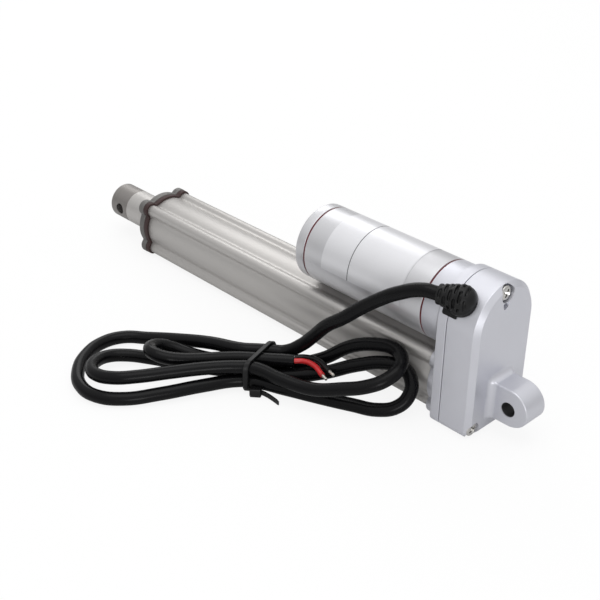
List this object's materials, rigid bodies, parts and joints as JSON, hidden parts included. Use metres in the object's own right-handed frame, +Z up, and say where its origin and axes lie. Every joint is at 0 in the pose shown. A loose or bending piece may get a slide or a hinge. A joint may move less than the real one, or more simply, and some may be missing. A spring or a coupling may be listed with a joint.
{
  "type": "linear actuator",
  "caption": "Electric linear actuator: motor and gear housing beside an extruded tube, with a sliding rod driven by a lead screw, pin eyes at both ends and a tied cable.",
  "frame": {"origin": "on the standing surface, under the middle of the actuator's box without its cable", "axes": "+X along the rod towards its free end, +Y towards the cable's side, +Z up"},
  "size_m": [0.299, 0.1454, 0.0734],
  "materials": {
    "tube": "satin anodised extrusion",
    "housing": "fine satin die casting",
    "motor_shell": "satin",
    "rod": "ground and polished",
    "rod_end": "turned",
    "cap": "dark grey cast",
    "screws": "plain",
    "gasket": "matt",
    "seal_ring": "matt",
    "black_rubber": "satin",
    "steel": "ground",
    "brass": "machined",
    "copper": "lacquered wire and laminations",
    "nylon": "moulded",
    "black_plastic": "moulded",
    "red_plastic": "smooth insulation",
    "ferrite": "sintered",
    "tinned": "tinned strands"
  },
  "bodies": {
    "housing": {"rear_housing": "housing", "front_housing": "housing", "housing_screw_1": "screws", "housing_screw_2": "screws", "housing_screw_3": "screws", "outer_tube": "tube", "tube_gasket": "gasket", "front_cap": "cap", "cap_screw_1": "screws", "cap_screw_2": "screws", "cap_screw_3": "screws", "cap_screw_4": "screws", "guide_bush": "nylon", "wiper_seal": "black_rubber", "idler_axle": "steel", "bearing_outer_ring": "steel", "limit_switch_strip": "red_plastic", "limit_switch_rear": "black_plastic", "limit_switch_front": "black_plastic", "motor_can": "motor_shell", "motor_end_cap": "housing", "motor_ring_front": "seal_ring", "motor_ring_rear": "seal_ring", "magnet_left": "ferrite", "magnet_right": "ferrite", "brush_holder": "black_plastic", "brush_left": "ferrite", "brush_right": "ferrite", "motor_bush_front": "brass", "motor_bush_rear": "brass", "strain_relief": "black_rubber", "cord_lead": "black_rubber", "cord_hank": "black_rubber", "cable_tie": "black_plastic", "red_wire": "red_plastic", "black_wire": "black_plastic", "red_wire_tip": "tinned", "black_wire_tip": "tinned"},
    "rotor": {"armature": "copper", "commutator": "copper", "motor_pinion": "brass"},
    "idler": {"idler_gear": "nylon"},
    "screw": {"lead_screw": "steel", "screw_gear": "brass", "bearing_inner_ring": "steel"},
    "ball_cage": {"bearing_ball_cage": "steel"},
    "rod": {"inner_rod": "rod", "rod_end": "rod_end", "drive_nut": "nylon"}
  },
  "joints": [
    {"name": "motor_spin", "type": "hinge", "parent": "housing", "child": "rotor", "pos_m": [-0.06, 0, 0.0518], "axis": [1, 0, 0], "range_deg": [0, 331200]},
    {"name": "idler_spin", "type": "hinge", "parent": "housing", "child": "idler", "pos_m": [-0.12, 0.00228, 0.03375], "axis": [1, 0, 0], "continuous": true},
    {"name": "screw_spin", "type": "hinge", "parent": "housing", "child": "screw", "pos_m": [-0.1, 0, 0.0164], "axis": [1, 0, 0], "continuous": true},
    {"name": "cage_spin", "type": "hinge", "parent": "housing", "child": "ball_cage", "pos_m": [-0.1085, 0, 0.0164], "axis": [1, 0, 0], "continuous": true},
    {"name": "rod_slide", "type": "slide", "parent": "housing", "child": "rod", "axis": [1, 0, 0], "range_m": [0, 0.15]}
  ],
  "couplings": [
    {"joint": "idler_spin", "follows": "motor_spin", "ratio": -0.21739},
    {"joint": "screw_spin", "follows": "motor_spin", "ratio": 0.054348},
    {"joint": "cage_spin", "follows": "motor_spin", "ratio": 0.020833},
    {"joint": "rod_slide", "follows": "motor_spin", "m_per_rad": 0.000025949}
  ]
}
